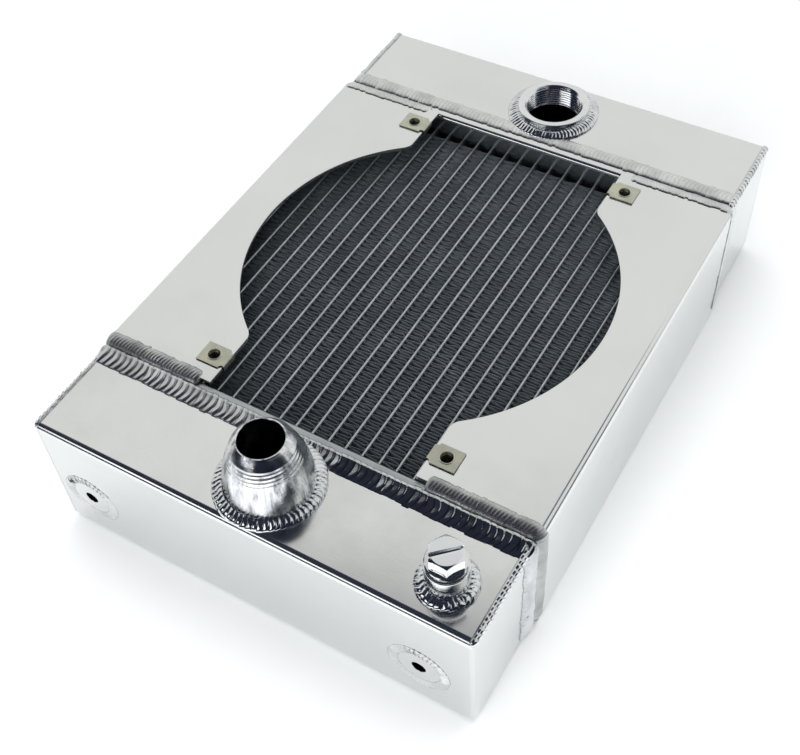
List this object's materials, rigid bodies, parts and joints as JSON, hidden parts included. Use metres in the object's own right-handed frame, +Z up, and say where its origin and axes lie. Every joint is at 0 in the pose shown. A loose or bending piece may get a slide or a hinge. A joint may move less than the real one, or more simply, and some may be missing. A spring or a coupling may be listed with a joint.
{
  "type": "car radiator",
  "caption": "Compact welded aluminium cross-flow radiator: two folded tanks, a finned tube core, a fan shroud with a round opening, threaded inlet and outlet, and a screw-out drain plug.",
  "frame": {"origin": "middle of the footprint, on the surface that the radiator rests on, core lying flat with the fan side up", "axes": "+Z up through the core from the rest face to the fan side, +Y along the coolant tubes from the outlet tank to the inlet tank, +X across the core towards the drain plug"},
  "size_m": [0.2802, 0.396, 0.1291],
  "materials": {
    "polished_aluminium": "hand polished sheet, bright with a soft wave",
    "machined_aluminium": "turned and polished, fine concentric tool marks",
    "weld_bead": "rippled weld, bright ridges and dull valleys",
    "tube_aluminium": "satin, as brazed",
    "fin_aluminium": "thin louvred foil, satin, dark in its depth",
    "zinc_plated_steel": "zinc plate with a faint yellow tint",
    "seal_rubber": "matte black"
  },
  "bodies": {
    "radiator": {"near_tank_shell": "polished_aluminium", "near_header": "polished_aluminium", "near_seam_bead": "weld_bead", "near_left_tank_end": "polished_aluminium", "near_left_shroud_bead": "weld_bead", "near_left_clip_nut": "zinc_plated_steel", "near_left_mount_insert": "machined_aluminium", "near_right_tank_end": "polished_aluminium", "near_right_shroud_bead": "weld_bead", "near_right_clip_nut": "zinc_plated_steel", "near_right_mount_insert": "machined_aluminium", "far_tank_shell": "polished_aluminium", "far_header": "polished_aluminium", "far_seam_bead": "weld_bead", "far_left_tank_end": "polished_aluminium", "far_left_shroud_bead": "weld_bead", "far_left_clip_nut": "zinc_plated_steel", "far_left_mount_insert": "machined_aluminium", "far_right_tank_end": "polished_aluminium", "far_right_shroud_bead": "weld_bead", "far_right_clip_nut": "zinc_plated_steel", "far_right_mount_insert": "machined_aluminium", "tube_01": "tube_aluminium", "tube_02": "tube_aluminium", "tube_03": "tube_aluminium", "tube_04": "tube_aluminium", "tube_05": "tube_aluminium", "tube_06": "tube_aluminium", "tube_07": "tube_aluminium", "tube_08": "tube_aluminium", "tube_09": "tube_aluminium", "tube_10": "tube_aluminium", "tube_11": "tube_aluminium", "tube_12": "tube_aluminium", "tube_13": "tube_aluminium", "tube_14": "tube_aluminium", "tube_15": "tube_aluminium", "tube_16": "tube_aluminium", "tube_17": "tube_aluminium", "tube_18": "tube_aluminium", "tube_19": "tube_aluminium", "tube_20": "tube_aluminium", "tube_21": "tube_aluminium", "tube_22": "tube_aluminium", "tube_23": "tube_aluminium", "tube_24": "tube_aluminium", "fin_pack": "fin_aluminium", "left_core_side_plate": "tube_aluminium", "left_shroud": "polished_aluminium", "right_core_side_plate": "tube_aluminium", "right_shroud": "polished_aluminium", "outlet_fitting": "machined_aluminium", "outlet_bead": "weld_bead", "inlet_bung": "machined_aluminium", "inlet_bead": "weld_bead", "drain_bung": "machined_aluminium", "drain_bead": "weld_bead"},
    "drain_seal": {"drain_seal": "seal_rubber"},
    "drain_plug": {"drain_plug": "machined_aluminium"}
  },
  "joints": [
    {"name": "drain_plug_lift", "type": "slide", "parent": "radiator", "child": "drain_seal", "axis": [0, 0, 1], "range_m": [0, 0.0105]},
    {"name": "drain_plug_turn", "type": "hinge", "parent": "drain_seal", "child": "drain_plug", "pos_m": [0.1087, -0.1737, 0.1096], "axis": [0, 0, 1], "range_deg": [0, 2520]}
  ],
  "couplings": [
    {"joint": "drain_plug_lift", "follows": "drain_plug_turn", "m_per_rad": 0.00023873}
  ]
}
